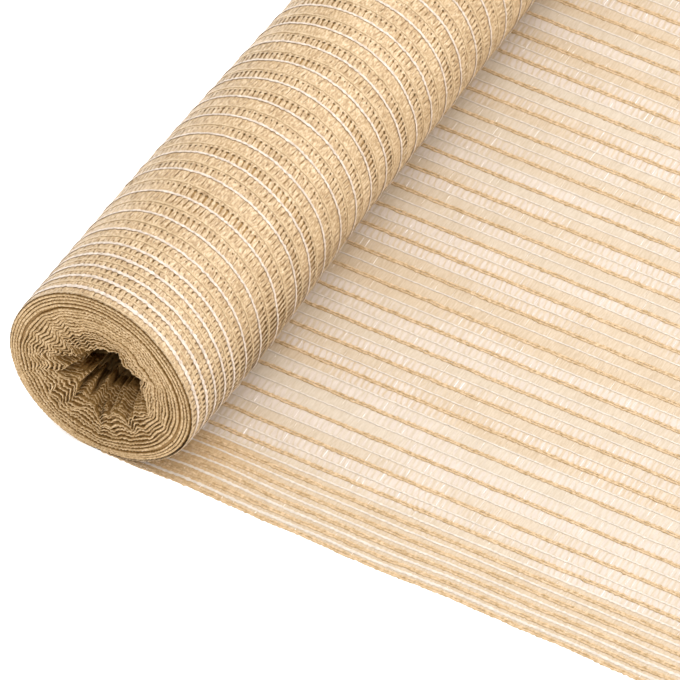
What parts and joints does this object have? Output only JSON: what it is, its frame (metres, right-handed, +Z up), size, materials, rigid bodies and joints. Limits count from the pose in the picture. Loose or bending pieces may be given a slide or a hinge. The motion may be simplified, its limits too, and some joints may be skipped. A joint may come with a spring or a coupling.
{
  "type": "privacy screen net roll",
  "caption": "Roll of beige knitted privacy screen net with an open, crumpled middle, its loose end unrolled flat on the surface.",
  "frame": {"origin": "on the surface, in the middle of the flat underside of the roll, half way between the two selvages", "axes": "+X the way the loose end runs, +Y along the roll from the near end to the far end, +Z up"},
  "size_m": [0.5102, 1.002, 0.1189],
  "materials": {
    "net_tape": "knitted plastic tape, satin",
    "chain_beige": "twisted plastic yarn, satin",
    "chain_white": "white plastic yarn, satin"
  },
  "bodies": {
    "root": {"wound_roll": "net_tape", "loose_end": "net_tape"}
  },
  "joints": []
}
